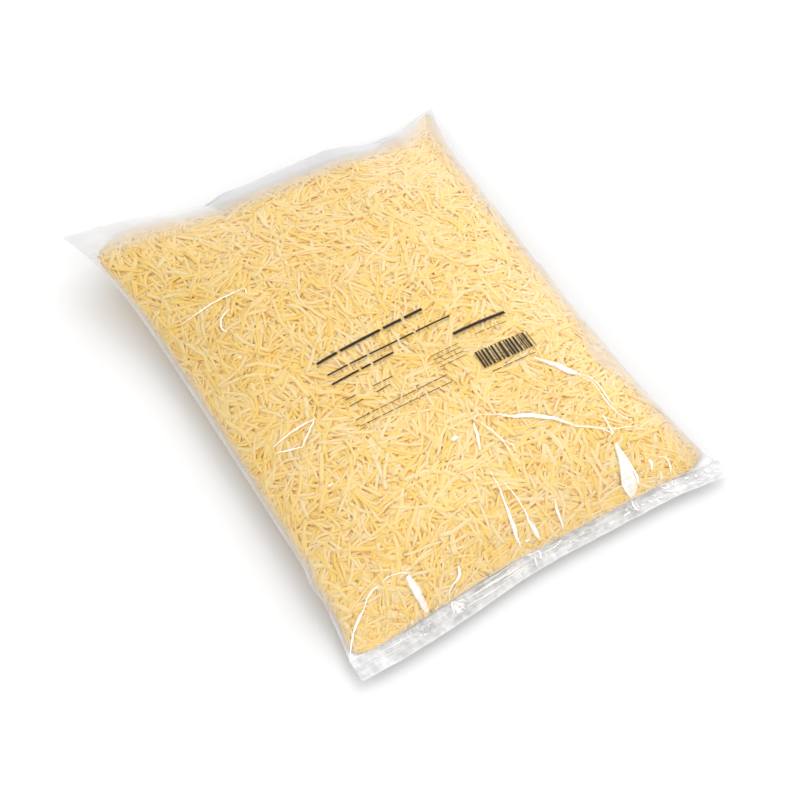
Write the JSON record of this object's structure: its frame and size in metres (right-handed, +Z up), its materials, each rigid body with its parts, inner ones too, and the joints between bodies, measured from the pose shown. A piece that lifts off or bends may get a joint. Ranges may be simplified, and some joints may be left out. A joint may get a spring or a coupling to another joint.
{
  "type": "bag of grated cheese",
  "caption": "Clear film pillow bag filled with pale yellow grated cheese, lying flat, with a crimped seal fin at each end.",
  "frame": {"origin": "centre of the bag's outline, on the surface it lies on", "axes": "+X across the bag to the right of the print, +Y along the bag from the near seal to the far seal, +Z up"},
  "size_m": [0.2622, 0.342, 0.0471],
  "materials": {
    "cheese": "pale yellow grated cheese, slightly oily, seen through the film",
    "film": "clear glossy packing film, milky where it is seen edge on, with fine creases",
    "ink": "thin black print on the film"
  },
  "bodies": {
    "root": {"bag": "cheese"}
  },
  "joints": []
}
